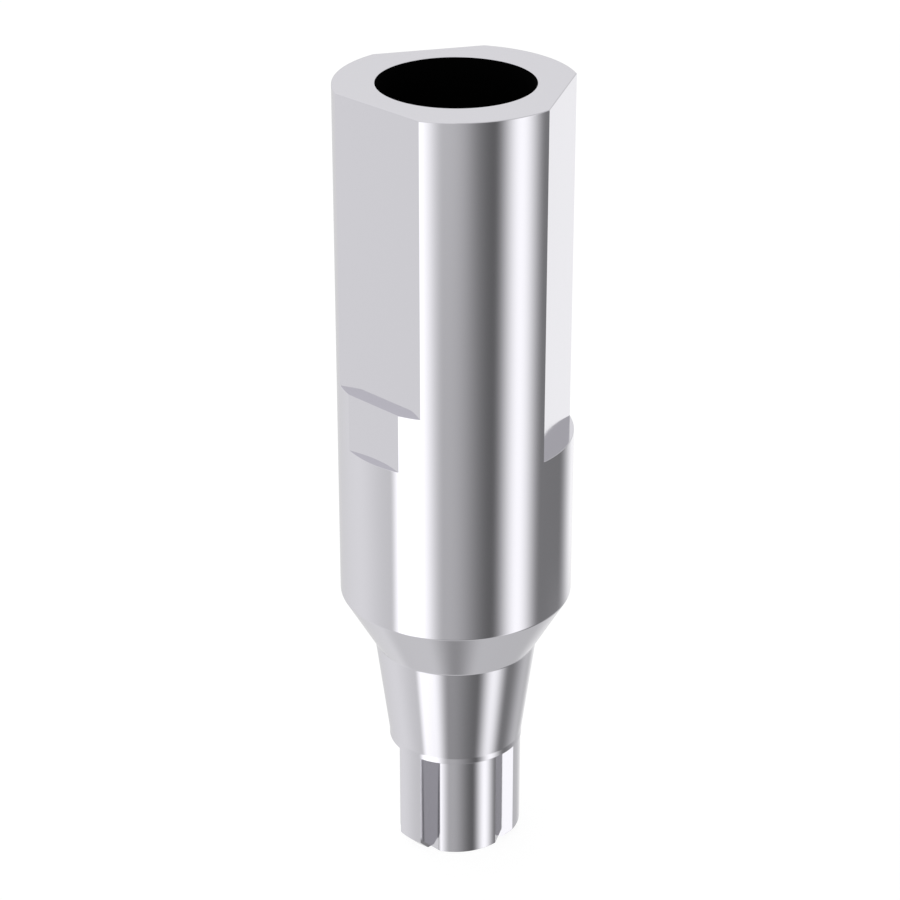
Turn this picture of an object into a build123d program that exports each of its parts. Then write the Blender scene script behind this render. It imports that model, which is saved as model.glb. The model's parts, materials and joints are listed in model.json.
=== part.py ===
from build123d import *
import os
from math import radians, tan

# Dental scan body: one turned and milled titanium piece.
# Frame: +Z along the axis, away from the implant. The origin is the centre of the end face
# that goes into the implant, and the orientation flat faces -Y. Lengths are in millimetres.

# Scan region: a cylinder with flats milled down from its top
body_diameter = 4.50
body_length = 10.25          # top face to the start of the shoulder
flat_count = 3
flat_depth = 0.27            # below the cylinder
flat_length = 6.85           # from the top face
index_length = 5.70          # deep part of the orientation flat, from the top face
index_step_depth = 0.10      # its lower part, below the cylinder

# Shoulder and sealing cone
shoulder_angle = 30.0        # from the axis
neck_diameter = 3.18
cone_half_angle = 7.5
cone_length = 2.07
rim_length = 0.12            # short straight rim at the cone's foot

# Connection end: a shank with one cam under each flat
shank_diameter = 2.25
shank_length = 2.19          # below the rim
cam_circle_diameter = 2.60
cam_width = 0.57
cam_chamfer = 0.20           # lead-in at the free end, at 45 degrees
cam_land = 0.98              # distance of the milled lands beside each cam from the axis

# Screw channel
channel_diameter = 2.94
channel_depth = 10.40        # top face to the screw seat
seat_angle = 90.0            # included angle of the conical seat
through_diameter = 1.60

# Heights that follow from the sizes above
body_radius = body_diameter / 2
neck_radius = neck_diameter / 2
shank_radius = shank_diameter / 2
channel_radius = channel_diameter / 2
through_radius = through_diameter / 2
foot_radius = neck_radius - cone_length * tan(radians(cone_half_angle))
shoulder_length = (body_radius - neck_radius) / tan(radians(shoulder_angle))
seat_length = (channel_radius - through_radius) / tan(radians(seat_angle / 2))
foot_height = shank_length
neck_height = foot_height + rim_length + cone_length
shoulder_height = neck_height + shoulder_length
top_height = shoulder_height + body_length
flat_azimuths = [index * 360 / flat_count for index in range(flat_count)]


def revolved(points):
    """Solid of revolution about Z from a half section given as (radius, height) points."""
    section = Plane.XZ * make_face(Polyline(*points, close=True))
    return revolve(section, axis=Axis.Z)


def turned_body():
    """Scan cylinder, shoulder, cone with its rim, and shank, as they come off the lathe."""
    return revolved([
        (0, 0),
        (shank_radius, 0),
        (shank_radius, foot_height),
        (foot_radius, foot_height),
        (foot_radius, foot_height + rim_length),
        (neck_radius, neck_height),
        (body_radius, shoulder_height),
        (body_radius, top_height),
        (0, top_height),
    ])


def milled_side(azimuth, distance, bottom, top):
    """Block that mills away what lies beyond a plane parallel to the axis."""
    block = Box(2 * body_diameter, body_diameter, top - bottom, align=(Align.CENTER, Align.MAX, Align.MIN))
    return Rot(0, 0, azimuth) * Pos(0, -distance, bottom) * block


def scan_flats():
    """Cuts of the flats. The first one is the orientation flat, with a shallower lower part."""
    flat_end = top_height - flat_length
    index_end = top_height - index_length
    flat_distance = body_radius - flat_depth
    index_azimuth, *plain_azimuths = flat_azimuths
    cuts = [milled_side(azimuth, flat_distance, flat_end, top_height) for azimuth in plain_azimuths]
    cuts.append(milled_side(index_azimuth, flat_distance, index_end, top_height))
    cuts.append(milled_side(index_azimuth, body_radius - index_step_depth, flat_end, index_end))
    return cuts


def cam_lands():
    """Cuts of the flat lands that each cam stands on."""
    return [milled_side(azimuth, cam_land, 0, foot_height) for azimuth in flat_azimuths]


def cams():
    """Ribs with a turned crest and a 45 degree lead-in, one under each flat."""
    cam_radius = cam_circle_diameter / 2
    crest = revolved([
        (0, 0),
        (cam_radius - cam_chamfer, 0),
        (cam_radius, cam_chamfer),
        (cam_radius, foot_height),
        (0, foot_height),
    ])
    rib = Box(cam_width, cam_radius, foot_height, align=(Align.CENTER, Align.MAX, Align.MIN))
    return [crest & (Rot(0, 0, azimuth) * rib) for azimuth in flat_azimuths]


def screw_channel():
    """Stepped hole right through: a wide channel, a conical screw seat and the through hole."""
    seat_top = top_height - channel_depth
    return revolved([
        (0, 0),
        (through_radius, 0),
        (through_radius, seat_top - seat_length),
        (channel_radius, seat_top),
        (channel_radius, top_height),
        (0, top_height),
    ])


def scan_body():
    """The finished piece."""
    blank = turned_body() - scan_flats() - cam_lands()
    return (blank + cams()) - screw_channel()


os.makedirs("parts", exist_ok=True)
part = scan_body()
part.label = "scan_body"
export_step(part, "parts/scan_body.step")
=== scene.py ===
"""Dental scan body: a turned and milled titanium piece, in soft studio light."""

import json
from math import radians

import bpy
import numpy as np
from mathutils import Euler, Matrix, Vector


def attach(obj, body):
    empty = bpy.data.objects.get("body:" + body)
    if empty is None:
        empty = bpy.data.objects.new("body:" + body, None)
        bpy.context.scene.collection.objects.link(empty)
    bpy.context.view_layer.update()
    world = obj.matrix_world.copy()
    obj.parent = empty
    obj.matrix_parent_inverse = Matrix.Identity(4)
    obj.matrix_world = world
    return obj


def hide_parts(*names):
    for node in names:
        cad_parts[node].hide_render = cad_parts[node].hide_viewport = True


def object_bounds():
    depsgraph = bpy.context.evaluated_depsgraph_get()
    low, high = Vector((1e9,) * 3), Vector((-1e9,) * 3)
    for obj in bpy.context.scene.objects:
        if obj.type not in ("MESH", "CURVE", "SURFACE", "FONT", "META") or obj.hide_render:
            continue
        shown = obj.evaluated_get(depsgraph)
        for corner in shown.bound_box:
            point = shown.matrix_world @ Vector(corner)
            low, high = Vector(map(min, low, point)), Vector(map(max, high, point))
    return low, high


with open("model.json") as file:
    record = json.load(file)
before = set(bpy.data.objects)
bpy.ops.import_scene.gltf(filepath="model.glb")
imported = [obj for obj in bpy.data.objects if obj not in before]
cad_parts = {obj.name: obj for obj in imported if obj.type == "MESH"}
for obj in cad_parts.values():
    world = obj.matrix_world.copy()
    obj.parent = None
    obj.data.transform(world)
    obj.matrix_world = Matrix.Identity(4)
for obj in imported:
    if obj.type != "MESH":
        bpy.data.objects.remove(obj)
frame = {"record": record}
CAD_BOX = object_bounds()
MOUNTS = {mount["name"]: mount for mount in frame["record"]["mounts"]}

bl_info = {
    "name": "Dental scan body",
    "version": (1, 0, 0),
    "blender": (4, 5, 0),
    "location": "View3D > Sidebar > Scan body",
    "description": "Builds a dental scan body and the studio that it stands in",
    "category": "Add Mesh",
}

MM = 0.001
TINY = 1e-12                  # keeps a division off zero

FLAT_COUNT = 3                # flats, and cams in line with them
EASING_POINTS = 9             # points along the curve of a rounded corner
EASING_SHARE = 0.3            # the most of a side that the rounding of one corner may take
SUPPORT_REACH = 1.5           # distance of the point beyond a rounding, as a share of the rounding
MERGE_DISTANCE = 1e-7         # metres, below which two points of the mesh are one
SHARP_ANGLE = 15.5            # degrees between two faces, above which their edge stays sharp

MARK_DETAIL = 2.0             # octaves of noise in the tool marks
WEAR_SCALE = 900.0            # patches of wear in a metre
WEAR_DETAIL = 3.0             # octaves of noise in the wear

PHOTO_SIDE = 900.0            # pixels, both ways
SENSOR_WIDTH = 36.0           # mm
NEAREST = 1 * MM              # what the camera sees starts here
FARTHEST = 10.0               # metres, where it ends
FLOOR_CORNERS = 96
FLOOR_WHITE = 1.02            # strength at which the camera sees the floor where nothing shades it
FLOOR_LIT = 0.7               # how bright the studio makes the floor, where full white is 1


def bore_radius(name):
    """Radius of a bore mount, in metres."""
    return MOUNTS[name]["dims"]["r_mm"] * MM


def bore_length(name):
    """Length of a bore mount's wall, in metres."""
    return MOUNTS[name]["dims"]["length_mm"] * MM


def length(name, description, default):
    """A length property in metres."""
    return bpy.props.FloatProperty(name=name, description=description, default=default, min=0.0,
                                   unit="LENGTH", subtype="DISTANCE", precision=6)


def angle(name, description, degrees):
    """An angle property, given in degrees and kept in radians."""
    return bpy.props.FloatProperty(name=name, description=description, default=radians(degrees),
                                   subtype="ANGLE")


def share(name, description, default):
    """A property from 0 to 1."""
    return bpy.props.FloatProperty(name=name, description=description, default=default, min=0.0,
                                   max=1.0, subtype="FACTOR")


class ScanBodySizes(bpy.types.PropertyGroup):
    """Sizes of the piece."""

    height: length("Height", "End face to top face", CAD_BOX[1][2])
    body_radius: length("Body radius", "Radius of the scan cylinder", CAD_BOX[1][0])
    body_length: length("Body length", "Top face to the start of the shoulder", 10.25 * MM)
    flat_depth: length("Flat depth", "Depth of the flats below the cylinder", 0.27 * MM)
    flat_length: length("Flat length", "Top face to the end of the flats", 6.85 * MM)
    index_length: length("Index length", "Deep part of the orientation flat", 5.70 * MM)
    index_step: length("Index step", "Depth of its shallow part below the cylinder", 0.10 * MM)
    neck_radius: length("Neck radius", "Where the shoulder meets the cone", 1.59 * MM)
    cone_length: length("Cone length", "Neck to the foot of the cone", 2.07 * MM)
    cone_angle: angle("Cone angle", "Half angle of the sealing cone", 7.5)
    rim_length: length("Rim length", "Straight rim at the cone's foot", 0.12 * MM)
    shank_radius: length("Shank radius", "Radius of the shank", 1.125 * MM)
    shank_length: length("Shank length", "End face to the rim", 2.19 * MM)
    cam_radius: length("Cam radius", "Axis to the crest of a cam", 1.30 * MM)
    cam_width: length("Cam width", "Width of a cam", 0.57 * MM)
    cam_chamfer: length("Cam lead-in", "Chamfer at the free end of a cam", 0.20 * MM)
    cam_land: length("Cam land", "Axis to the milled land beside a cam", 0.98 * MM)
    channel_radius: length("Channel radius", "Radius of the screw channel",
                           bore_radius("screw_channel"))
    channel_depth: length("Channel depth", "Top face to the screw seat",
                          bore_length("screw_channel"))
    through_radius: length("Through hole radius", "Radius of the hole below the seat",
                           bore_radius("screw_through_hole"))
    seat_height: length("Seat height", "End face to the foot of the screw seat",
                        bore_length("screw_through_hole"))
    edge_break: length("Edge break", "Rounding of the turned and milled edges", 0.02 * MM)
    column_step: angle("Column step", "Turn from one mesh column to the next", 1.5)


class ScanBodyFinish(bpy.types.PropertyGroup):
    """Colours and finish of the metal, and the near-black colour painted as shade inside the screw
    channel.
    """

    titanium: bpy.props.FloatVectorProperty(name="Titanium", description="Colour of the metal",
                                            default=(0.785, 0.775, 0.82), size=3, min=0.0, max=1.0,
                                            subtype="COLOR")
    # Painted shade: the metal inside the screw channel gets a near-black colour, standing in for the
    # shade in the hole.
    channel: bpy.props.FloatVectorProperty(name="Channel", description="Colour inside the channel",
                                           default=(0.004, 0.004, 0.004), size=3, min=0.0, max=1.0,
                                           subtype="COLOR")
    rim: share("Rim", "Tint of the reflection at a glancing angle", 0.85)
    polish: share("Polish", "Roughness of the metal where it shines most", 0.09)
    channel_roughness: share("Channel roughness", "Roughness inside the channel", 0.6)
    mark_roughness: share("Mark roughness", "Roughness that the tool marks add", 0.05)
    mark_pitch: length("Mark pitch", "Distance from one tool mark to the next", 0.035 * MM)
    mark_depth: length("Mark depth", "Depth of the tool marks", 0.00004 * MM)


class ScanBodyStage(bpy.types.PropertyGroup):
    """Camera, floor and studio."""

    focal_pixels: bpy.props.FloatProperty(name="Focal length",
                                          description="In pixels of the photograph", default=2764.0)
    camera_distance: length("Camera distance", "Level distance from the axis", 47.59 * MM)
    camera_above: length("Camera above", "Height above the top face", 15.66 * MM)
    camera_azimuth: angle("Camera azimuth", "From -Y towards +X", 45.07)
    camera_pitch: angle("Camera pitch", "Below the horizon", 25.80)
    camera_yaw: angle("Camera yaw", "Turn to the left of the axis", 0.133)
    floor_radius: length("Floor radius", "Radius of the floor", 0.6)
    floor_shadow: share("Floor shadow", "Share of the floor's light that the object can shade", 0.2)


def settings():
    """The three groups of settings of this scene."""
    scene = bpy.context.scene
    return scene.scan_body_sizes, scene.scan_body_finish, scene.scan_body_stage


def column_azimuths(breaks, step, sectors):
    """Azimuths of the mesh columns: in each sector the breaks, mirrored about the sector's middle,
    with even steps no wider than `step` between them."""
    marks = np.concatenate(([0.0], np.sort(breaks), [np.pi / sectors]))
    spans = [np.linspace(low, high, int(np.ceil((high - low) / step)), endpoint=False)
             for low, high in zip(marks[:-1], marks[1:])]
    half = np.concatenate(spans)
    sector = np.concatenate((-(marks[-1]), -half[:0:-1], half), axis=None)
    turns = np.arange(sectors) * 2 * np.pi / sectors
    return (turns[:, None] + sector[None, :]).ravel()


def from_nearest(azimuths, sectors):
    """Azimuth measured from the middle of the sector that it lies in."""
    width = 2 * np.pi / sectors
    return azimuths - width * np.round(azimuths / width)


def flat_outline(azimuths, radius, distances):
    """Radius of a round section with one flat a sector. A flat at distance d from the axis is the
    line r = d / cos(a), where a is the azimuth from the flat's middle."""
    sectors = len(distances)
    local = from_nearest(azimuths, sectors)
    sector = np.round(azimuths * sectors / (2 * np.pi)).astype(int) % sectors
    return np.minimum(radius, np.asarray(distances)[sector] / np.cos(local))


def cam_outline(azimuths, sectors, sizes):
    """Radii of the shank's section without and with its cams. The lands are lines r = d / cos(a),
    and a cam lies between the lines r = half width / sin(a), out to its crest."""
    local = np.abs(from_nearest(azimuths, sectors))
    land = np.minimum(sizes.shank_radius, sizes.cam_land / np.cos(local))
    side = sizes.cam_width / 2 / np.maximum(np.sin(local), TINY)
    return land, np.maximum(land, np.minimum(sizes.cam_radius, side))


def eased_profile(profile, breaks):
    """Rounds the corners of a closed profile. `profile` holds (corner, column, radius or height).
    Each corner becomes a quadratic curve that starts and ends `breaks` away from it, or a share of
    the shorter side where that is less. A point a little farther out on each side keeps the shading
    of the faces beyond it flat."""
    before = np.roll(profile, 1, axis=0) - profile
    after = np.roll(profile, -1, axis=0) - profile
    long_before = np.linalg.norm(before, axis=2, keepdims=True)
    long_after = np.linalg.norm(after, axis=2, keepdims=True)
    cut = np.minimum(breaks[:, None, None], EASING_SHARE * np.minimum(long_before, long_after))
    start = before / np.maximum(long_before, TINY) * cut
    end = after / np.maximum(long_after, TINY) * cut
    steps = np.linspace(0.0, 1.0, EASING_POINTS)[None, :, None, None]
    curve = profile[:, None] + (1 - steps) ** 2 * start[:, None] + steps ** 2 * end[:, None]
    first = profile + SUPPORT_REACH * start
    last = profile + SUPPORT_REACH * end
    rows = np.concatenate((first[:, None], curve, last[:, None]), axis=1)
    return rows.reshape(-1, *profile.shape[1:])


def closed_grid_mesh(name, points):
    """Mesh of a grid that closes on itself both ways, with its doubled points merged."""
    rows, columns = points.shape[:2]
    row, column = np.meshgrid(np.arange(rows), np.arange(columns), indexing="ij")
    next_row = (row + 1) % rows
    next_column = (column + 1) % columns
    quads = np.stack((row * columns + column, row * columns + next_column,
                      next_row * columns + next_column, next_row * columns + column), axis=-1)
    keys = np.round(points.reshape(-1, 3) / MERGE_DISTANCE).astype(np.int64)
    _, first, merged = np.unique(keys, axis=0, return_index=True, return_inverse=True)
    quads = merged.ravel()[quads.reshape(-1, 4)]
    doubled = quads == np.roll(quads, 1, axis=1)
    corners = 4 - doubled.sum(axis=1)
    faces = [face[~double].tolist() for face, double in zip(quads[corners > 2], doubled[corners > 2])]
    mesh = bpy.data.meshes.new(name)
    mesh.from_pydata(points.reshape(-1, 3)[first].tolist(), [], faces)
    mesh.update()
    return mesh


def scan_body_points(sizes):
    """Grid of points over the whole surface: a profile of radius and height for each azimuth. It
    starts at the end face's outer edge, climbs the outside to the top face, and comes back down
    through the screw channel."""
    deep = sizes.body_radius - sizes.flat_depth
    shallow = sizes.body_radius - sizes.index_step
    half_cam = sizes.cam_width / 2
    edges = [np.arccos(deep / sizes.body_radius), np.arccos(shallow / sizes.body_radius),
             np.arccos(sizes.cam_land / sizes.shank_radius), np.arcsin(half_cam / sizes.cam_radius),
             np.arctan(half_cam / sizes.cam_land)]
    azimuths = column_azimuths(edges, sizes.column_step, FLAT_COUNT)

    land, cam = cam_outline(azimuths, FLAT_COUNT, sizes)
    upper = flat_outline(azimuths, sizes.body_radius, [deep] * FLAT_COUNT)
    middle = flat_outline(azimuths, sizes.body_radius, [shallow] + [deep] * (FLAT_COUNT - 1))
    cam_end = sizes.cam_radius - sizes.cam_chamfer
    end = np.maximum(land, np.minimum(cam, cam_end))
    foot_radius = sizes.neck_radius - sizes.cone_length * np.tan(sizes.cone_angle)
    foot = sizes.shank_length
    rim = foot + sizes.rim_length
    neck = rim + sizes.cone_length
    shoulder = sizes.height - sizes.body_length
    flat_end = sizes.height - sizes.flat_length
    index_end = sizes.height - sizes.index_length
    seat_top = sizes.height - sizes.channel_depth

    # Radius, height and rounding of each corner. The rounding is a share of the edge break, and 0
    # leaves the corner sharp.
    corners = [
        (end, 0.0, 0.5),
        (cam, np.clip(cam - cam_end, 0.0, sizes.cam_chamfer), 0.5),
        (cam, foot, 0.0),
        (foot_radius, foot, 0.5),
        (foot_radius, rim, 0.5),
        (sizes.neck_radius, neck, 1.0),
        (sizes.body_radius, shoulder, 1.0),
        (sizes.body_radius, flat_end, 0.5),
        (middle, flat_end, 0.0),
        (middle, index_end, 0.5),
        (upper, index_end, 0.0),
        (upper, sizes.height, 1.0),
        (sizes.channel_radius, sizes.height, 0.5),
        (sizes.channel_radius, seat_top, 1.0),
        (sizes.through_radius, sizes.seat_height, 0.0),
        (sizes.through_radius, 0.0, 1.0),
    ]
    profile = np.stack([np.stack(np.broadcast_arrays(radius, height, azimuths)[:2], axis=-1)
                        for radius, height, _ in corners])
    rounding = np.array([part for _, _, part in corners]) * sizes.edge_break
    profile = eased_profile(profile, rounding)
    radius, height = profile[..., 0], profile[..., 1]
    return np.stack((radius * np.sin(azimuths), -radius * np.cos(azimuths), height), axis=-1)


def new_group(name, inputs, outputs):
    """Empty shader node group with float inputs and outputs. Returns it and its two end nodes."""
    group = bpy.data.node_groups.new(name, "ShaderNodeTree")
    for label, default in inputs:
        socket = group.interface.new_socket(label, in_out="INPUT", socket_type="NodeSocketFloat")
        socket.default_value = default
    for label in outputs:
        group.interface.new_socket(label, in_out="OUTPUT", socket_type="NodeSocketFloat")
    return group, group.nodes.new("NodeGroupInput"), group.nodes.new("NodeGroupOutput")


def math_node(tree, operation, *values, clamp=False):
    """Math node fed with sockets or numbers. Returns its output."""
    node = tree.nodes.new("ShaderNodeMath")
    node.operation = operation
    node.use_clamp = clamp
    for socket, value in zip(node.inputs, values):
        if isinstance(value, bpy.types.NodeSocket):
            tree.links.new(value, socket)
        else:
            socket.default_value = value
    return node.outputs[0]


def smooth_step(tree, value, low, high):
    """0 up to `low`, 1 from `high` on, and a smooth rise between them. `low` may be the larger."""
    node = tree.nodes.new("ShaderNodeMapRange")
    node.interpolation_type = "SMOOTHSTEP"
    tree.links.new(value, node.inputs["Value"])
    node.inputs["From Min"].default_value = low
    node.inputs["From Max"].default_value = high
    return node.outputs["Result"]


def tool_marks_group():
    """Fine rings left by the lathe and the mill. They follow height plus radius, so they run round
    the walls and are concentric on the end faces."""
    group, ends_in, ends_out = new_group("Tool marks", (("Pitch", 0.035 * MM),), ("Height", "Wear"))
    place = group.nodes.new("ShaderNodeTexCoord").outputs["Object"]
    parts = group.nodes.new("ShaderNodeSeparateXYZ")
    group.links.new(place, parts.inputs[0])
    across = math_node(group, "ADD", math_node(group, "MULTIPLY", parts.outputs[0], parts.outputs[0]),
                       math_node(group, "MULTIPLY", parts.outputs[1], parts.outputs[1]))
    travel = math_node(group, "ADD", parts.outputs[2], math_node(group, "SQRT", across))
    turns = math_node(group, "DIVIDE", travel, ends_in.outputs["Pitch"])
    fine = group.nodes.new("ShaderNodeTexNoise")
    fine.noise_dimensions = "1D"
    fine.inputs["Scale"].default_value = 1.0
    fine.inputs["Detail"].default_value = MARK_DETAIL
    group.links.new(turns, fine.inputs["W"])
    broad = group.nodes.new("ShaderNodeTexNoise")
    broad.inputs["Scale"].default_value = WEAR_SCALE
    broad.inputs["Detail"].default_value = WEAR_DETAIL
    group.links.new(place, broad.inputs["Vector"])
    group.links.new(fine.outputs[0], ends_out.inputs["Height"])
    group.links.new(math_node(group, "MULTIPLY", fine.outputs[0], broad.outputs[0]),
                    ends_out.inputs["Wear"])
    return group


def inside_channel_group():
    """1 inside the screw channel and 0 on the rest of the piece: where the painted shade goes, and
    where the metal is rough. The channel's radius is that of the through hole below the seat, grows
    evenly along the seat, and is wide above it."""
    group, ends_in, ends_out = new_group(
        "Inside channel",
        (("Wide radius", 1.47 * MM), ("Narrow radius", 0.8 * MM), ("Seat foot", 4.7 * MM),
         ("Seat top", 5.37 * MM), ("Top", 15.77 * MM), ("Margin", 0.02 * MM)),
        ("Inside",))
    inputs = ends_in.outputs
    place = group.nodes.new("ShaderNodeTexCoord").outputs["Object"]
    parts = group.nodes.new("ShaderNodeSeparateXYZ")
    group.links.new(place, parts.inputs[0])
    across = math_node(group, "ADD", math_node(group, "MULTIPLY", parts.outputs[0], parts.outputs[0]),
                       math_node(group, "MULTIPLY", parts.outputs[1], parts.outputs[1]))
    height = parts.outputs[2]
    along = math_node(group, "DIVIDE", math_node(group, "SUBTRACT", height, inputs["Seat foot"]),
                      math_node(group, "SUBTRACT", inputs["Seat top"], inputs["Seat foot"]), clamp=True)
    growth = math_node(group, "SUBTRACT", inputs["Wide radius"], inputs["Narrow radius"])
    wall = math_node(group, "MULTIPLY_ADD", along, growth, inputs["Narrow radius"])
    limit = math_node(group, "ADD", wall, inputs["Margin"])
    within = math_node(group, "LESS_THAN", math_node(group, "SQRT", across), limit)
    below = math_node(group, "LESS_THAN", height,
                      math_node(group, "SUBTRACT", inputs["Top"], inputs["Margin"]))
    above = math_node(group, "GREATER_THAN", height, inputs["Margin"])
    between = math_node(group, "MULTIPLY", below, above)
    group.links.new(math_node(group, "MULTIPLY", within, between), ends_out.inputs["Inside"])
    return group


def titanium_material(sizes, finish):
    """Bright machined titanium, with painted shade: a near-black colour inside the screw channel."""
    material = bpy.data.materials.new("Titanium")
    material.use_nodes = True
    tree = material.node_tree
    shader = tree.nodes["Principled BSDF"]
    shader.inputs["Metallic"].default_value = 1.0
    shader.inputs["Specular Tint"].default_value = (*([finish.rim] * 3), 1.0)

    marks = tree.nodes.new("ShaderNodeGroup")
    marks.node_tree = tool_marks_group()
    marks.inputs["Pitch"].default_value = finish.mark_pitch

    inside = tree.nodes.new("ShaderNodeGroup")
    inside.node_tree = inside_channel_group()
    inside.inputs["Wide radius"].default_value = sizes.channel_radius
    inside.inputs["Narrow radius"].default_value = sizes.through_radius
    inside.inputs["Seat foot"].default_value = sizes.seat_height
    inside.inputs["Seat top"].default_value = sizes.height - sizes.channel_depth
    inside.inputs["Top"].default_value = sizes.height

    # Painted shade: the base colour turns near-black inside the screw channel, where the hole is in
    # shade.
    colour_with_painted_shade = tree.nodes.new("ShaderNodeMix")
    colour_with_painted_shade.data_type = "RGBA"
    colour_with_painted_shade.inputs["A"].default_value = (*finish.titanium, 1.0)
    colour_with_painted_shade.inputs["B"].default_value = (*finish.channel, 1.0)
    tree.links.new(inside.outputs["Inside"], colour_with_painted_shade.inputs["Factor"])
    tree.links.new(colour_with_painted_shade.outputs["Result"], shader.inputs["Base Color"])

    worn = math_node(tree, "MULTIPLY_ADD", marks.outputs["Wear"], finish.mark_roughness, finish.polish)
    rough = tree.nodes.new("ShaderNodeMix")
    rough.inputs["B"].default_value = finish.channel_roughness
    tree.links.new(worn, rough.inputs["A"])
    tree.links.new(inside.outputs["Inside"], rough.inputs["Factor"])
    tree.links.new(rough.outputs["Result"], shader.inputs["Roughness"])

    bump = tree.nodes.new("ShaderNodeBump")
    bump.inputs["Distance"].default_value = finish.mark_depth
    tree.links.new(marks.outputs["Height"], bump.inputs["Height"])
    tree.links.new(bump.outputs["Normal"], shader.inputs["Normal"])
    return material


class SCANBODY_OT_add_body(bpy.types.Operator):
    """Adds the scan body in place of its plain solid"""

    bl_idname = "scanbody.add_body"
    bl_label = "Scan body"

    def execute(self, context):
        sizes, finish, _ = settings()
        mesh = closed_grid_mesh("scan_body_surface", scan_body_points(sizes))
        piece = bpy.data.objects.new("scan_body_surface", mesh)
        context.scene.collection.objects.link(piece)
        mesh.shade_smooth()
        mesh.set_sharp_from_angle(angle=radians(SHARP_ANGLE))
        mesh.materials.append(titanium_material(sizes, finish))
        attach(piece, "root")
        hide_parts("scan_body")
        return {"FINISHED"}


# The studio's cards, laid one over the other. Each is an upright strip with soft edges: where it
# starts, is full, is full no longer and ends, as azimuths in degrees from the camera's side towards
# the picture's right, then its strength, and the depths below the horizon between which it fades
# out, as the sine of the angle.
CARDS = (
    ("low back wall", 95.0, 135.0, 175.0, 230.0, 0.62, (0.80, 1.0)),
    ("middle back wall", 140.0, 170.0, 176.0, 215.0, 0.98, (0.70, 0.82)),
    ("right gap", 80.0, 100.0, 175.0, 230.0, 0.21, (0.47, 0.54)),
    ("back wall", 121.0, 158.0, 175.0, 230.0, 1.22, (0.45, 0.57)),
    ("left wall", 160.0, 196.0, 300.0, 330.0, 0.66, (0.80, 1.0)),
    ("far left wall", 160.0, 196.0, 248.0, 296.0, 0.85, (0.80, 1.0)),
    ("black card", -60.0, -30.0, 60.0, 90.0, 0.13, (0.60, 0.90)),
    ("front fill", -70.0, -60.0, -8.0, 36.0, 0.51, (0.45, 0.98)),
    ("high front fill", -70.0, -60.0, -15.0, 22.0, 0.59, (0.30, 0.44)),
    ("key box", -68.0, -56.0, -37.0, -11.0, 1.45, (0.62, 0.95)),
    ("strip box", 35.0, 63.0, 63.0, 92.0, 1.24, (0.62, 0.95)),
)
STUDIO_DARK = 0.21            # light where no card is
TABLE_LEFT = 0.68             # light from the table on the picture's left
TABLE_RIGHT = 0.60            # the same on its right
TABLE_FADE = (0.80, 0.90)     # depths between which the cards give way to the table
TABLE_SPLIT = (-0.25, 0.05)   # where its left gives way to its right: sines of the angle to the right
UNDER_LIGHT = 0.31            # light from straight below, where the object shades the table
UNDER_REACH = 0.23            # how far that shade reaches: sine of the angle from straight below
CEILING_RIGHT = 0.63          # light from above, beyond the object on the picture's right
CEILING_FADE = (0.0, -0.25)   # depths between which the cards give way to the ceiling

# The ceiling straight beyond the object, and on the picture's left. Each starts and is full at an
# azimuth in degrees from straight beyond the object towards the picture's left, and then has one
# strength.
CEILING_PARTS = (
    ("back", -30.0, -5.0, 0.90),
    ("left", 45.0, 80.0, 0.78),
)


class SCANBODY_OT_add_stage(bpy.types.Operator):
    """Adds the floor, the studio light and the camera"""

    bl_idname = "scanbody.add_stage"
    bl_label = "Stage"

    def execute(self, context):
        sizes, _, stage = settings()
        add_floor(stage)
        add_studio(stage)
        add_camera(sizes, stage)
        context.scene.view_settings.view_transform = "Standard"
        return {"FINISHED"}


def add_floor(stage):
    """Round white floor. The camera sees it as white with the object's soft shadow, and the metal
    sees the studio through it."""
    turns = np.linspace(0.0, 2 * np.pi, FLOOR_CORNERS, endpoint=False)
    rim = np.stack((np.cos(turns), np.sin(turns), np.zeros_like(turns)), axis=-1) * stage.floor_radius
    mesh = bpy.data.meshes.new("floor")
    mesh.from_pydata(rim.tolist(), [], [list(range(len(turns)))])
    floor = bpy.data.objects.new("floor", mesh)
    bpy.context.scene.collection.objects.link(floor)

    material = bpy.data.materials.new("White floor")
    material.use_nodes = True
    tree = material.node_tree
    tree.nodes.clear()
    output = tree.nodes.new("ShaderNodeOutputMaterial")
    path = tree.nodes.new("ShaderNodeLightPath")
    shaded = tree.nodes.new("ShaderNodeBsdfDiffuse")
    shaded.inputs["Color"].default_value = (*([stage.floor_shadow] * 3), 1.0)
    bright = tree.nodes.new("ShaderNodeEmission")
    bright.inputs["Strength"].default_value = FLOOR_WHITE - FLOOR_LIT * stage.floor_shadow
    seen = tree.nodes.new("ShaderNodeAddShader")
    clear = tree.nodes.new("ShaderNodeBsdfTransparent")
    mix = tree.nodes.new("ShaderNodeMixShader")
    tree.links.new(shaded.outputs[0], seen.inputs[0])
    tree.links.new(bright.outputs[0], seen.inputs[1])
    tree.links.new(path.outputs["Is Glossy Ray"], mix.inputs["Fac"])
    tree.links.new(seen.outputs[0], mix.inputs[1])
    tree.links.new(clear.outputs[0], mix.inputs[2])
    tree.links.new(mix.outputs[0], output.inputs["Surface"])
    mesh.materials.append(material)


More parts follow.
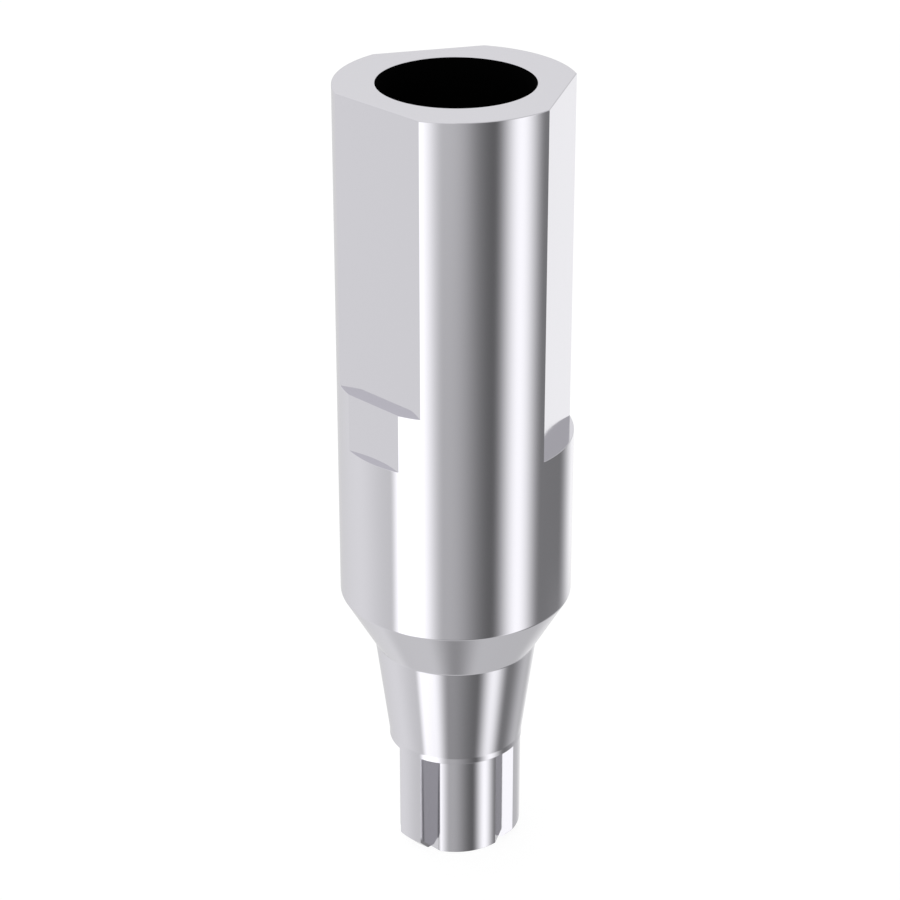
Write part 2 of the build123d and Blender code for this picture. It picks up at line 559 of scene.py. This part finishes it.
def add_studio(stage):
    """World of soft boxes for the metal and the floor, and plain white for the camera."""
    world = bpy.data.worlds.new("Studio")
    world.use_nodes = True
    bpy.context.scene.world = world
    tree = world.node_tree
    tree.nodes.clear()
    output = tree.nodes.new("ShaderNodeOutputWorld")
    way = tree.nodes.new("ShaderNodeSeparateXYZ")
    tree.links.new(tree.nodes.new("ShaderNodeTexCoord").outputs["Generated"], way.inputs[0])
    backward = math_node(tree, "MULTIPLY", way.outputs[1], -1.0)
    azimuth = math_node(tree, "ARCTAN2", way.outputs[0], backward)
    from_camera = math_node(tree, "SUBTRACT", azimuth, stage.camera_azimuth)

    depth = math_node(tree, "MULTIPLY", way.outputs[2], -1.0)
    light = math_node(tree, "ADD", STUDIO_DARK, 0.0)
    for _, start, full, full_end, end, strength, fade in CARDS:
        middle = (start + end) / 2
        away = math_node(tree, "WRAP", math_node(tree, "SUBTRACT", from_camera, radians(middle)),
                         np.pi, -np.pi)
        rise = smooth_step(tree, away, radians(start - middle), radians(full - middle))
        fall = smooth_step(tree, away, radians(end - middle), radians(full_end - middle))
        cover = math_node(tree, "MULTIPLY", rise, fall)
        cover = math_node(tree, "MULTIPLY", cover, smooth_step(tree, depth, fade[1], fade[0]))
        light = mix_values(tree, cover, light, strength)

    # Below lies a grey table, darker straight under the object, and overhead is a wide soft light.
    low = smooth_step(tree, depth, *TABLE_FADE)
    light = mix_values(tree, low, light, TABLE_LEFT)
    across = math_node(tree, "SQRT", math_node(tree, "SUBTRACT", 1.0,
                                               math_node(tree, "MULTIPLY", depth, depth), clamp=True))
    sideways = math_node(tree, "MULTIPLY", across, math_node(tree, "SINE", from_camera))
    right = math_node(tree, "MULTIPLY", low, smooth_step(tree, sideways, *TABLE_SPLIT))
    light = mix_values(tree, right, light, TABLE_RIGHT)
    below = math_node(tree, "MULTIPLY", low, smooth_step(tree, across, UNDER_REACH, 0.0))
    light = mix_values(tree, below, light, UNDER_LIGHT)

    up = smooth_step(tree, depth, *CEILING_FADE)
    light = mix_values(tree, up, light, CEILING_RIGHT)
    beyond = math_node(tree, "WRAP", math_node(tree, "SUBTRACT", from_camera, np.pi), np.pi, -np.pi)
    for _, start, full, strength in CEILING_PARTS:
        rise = smooth_step(tree, beyond, radians(start), radians(full))
        light = mix_values(tree, math_node(tree, "MULTIPLY", up, rise), light, strength)

    lit = tree.nodes.new("ShaderNodeBackground")
    tree.links.new(light, lit.inputs["Color"])
    plain = tree.nodes.new("ShaderNodeBackground")
    plain.inputs["Color"].default_value = (1.0, 1.0, 1.0, 1.0)
    mix = tree.nodes.new("ShaderNodeMixShader")
    path = tree.nodes.new("ShaderNodeLightPath")
    tree.links.new(path.outputs["Is Camera Ray"], mix.inputs["Fac"])
    tree.links.new(lit.outputs[0], mix.inputs[1])
    tree.links.new(plain.outputs[0], mix.inputs[2])
    tree.links.new(mix.outputs[0], output.inputs["Surface"])


def mix_values(tree, factor, value, other):
    """value where factor is 0, and the number `other` where it is 1."""
    node = tree.nodes.new("ShaderNodeMix")
    tree.links.new(factor, node.inputs["Factor"])
    tree.links.new(value, node.inputs["A"])
    node.inputs["B"].default_value = other
    return node.outputs["Result"]


def add_camera(sizes, stage):
    """Camera at the photograph's viewing angle."""
    data = bpy.data.cameras.new("camera")
    data.sensor_width = SENSOR_WIDTH
    data.lens = stage.focal_pixels / PHOTO_SIDE * SENSOR_WIDTH
    data.clip_start = NEAREST
    data.clip_end = FARTHEST
    camera = bpy.data.objects.new("camera", data)
    bpy.context.scene.collection.objects.link(camera)
    turn = Matrix.Rotation(stage.camera_azimuth, 4, "Z")
    tilt = Euler((np.pi / 2 - stage.camera_pitch, 0.0, stage.camera_yaw)).to_matrix().to_4x4()
    place = Vector((0.0, -stage.camera_distance, sizes.height + stage.camera_above))
    camera.matrix_world = turn @ Matrix.Translation(place) @ tilt
    bpy.context.scene.camera = camera


class SCANBODY_PT_panel(bpy.types.Panel):
    """Lists the pieces and the stage"""

    bl_idname = "SCANBODY_PT_panel"
    bl_label = "Scan body"
    bl_space_type = "VIEW_3D"
    bl_region_type = "UI"
    bl_category = "Scan body"

    def draw(self, context):
        for group in settings():
            box = self.layout.box()
            for label in group.bl_rna.properties.keys():
                if label not in ("rna_type", "name"):
                    box.prop(group, label)
        for operator in OPERATORS:
            self.layout.operator(operator.bl_idname)


OPERATORS = (SCANBODY_OT_add_body, SCANBODY_OT_add_stage)
CLASSES = (ScanBodySizes, ScanBodyFinish, ScanBodyStage, *OPERATORS, SCANBODY_PT_panel)


def register():
    """Registers the classes and the settings of the scene."""
    for item in CLASSES:
        bpy.utils.register_class(item)
    bpy.types.Scene.scan_body_sizes = bpy.props.PointerProperty(type=ScanBodySizes)
    bpy.types.Scene.scan_body_finish = bpy.props.PointerProperty(type=ScanBodyFinish)
    bpy.types.Scene.scan_body_stage = bpy.props.PointerProperty(type=ScanBodyStage)


def unregister():
    """Removes what register added."""
    del bpy.types.Scene.scan_body_stage
    del bpy.types.Scene.scan_body_finish
    del bpy.types.Scene.scan_body_sizes
    for item in reversed(CLASSES):
        bpy.utils.unregister_class(item)


def main():
    """Builds the piece and its stage."""
    register()
    bpy.ops.scanbody.add_body()
    bpy.ops.scanbody.add_stage()
    bpy.context.view_layer.update()


if __name__ == "__main__":
    main()
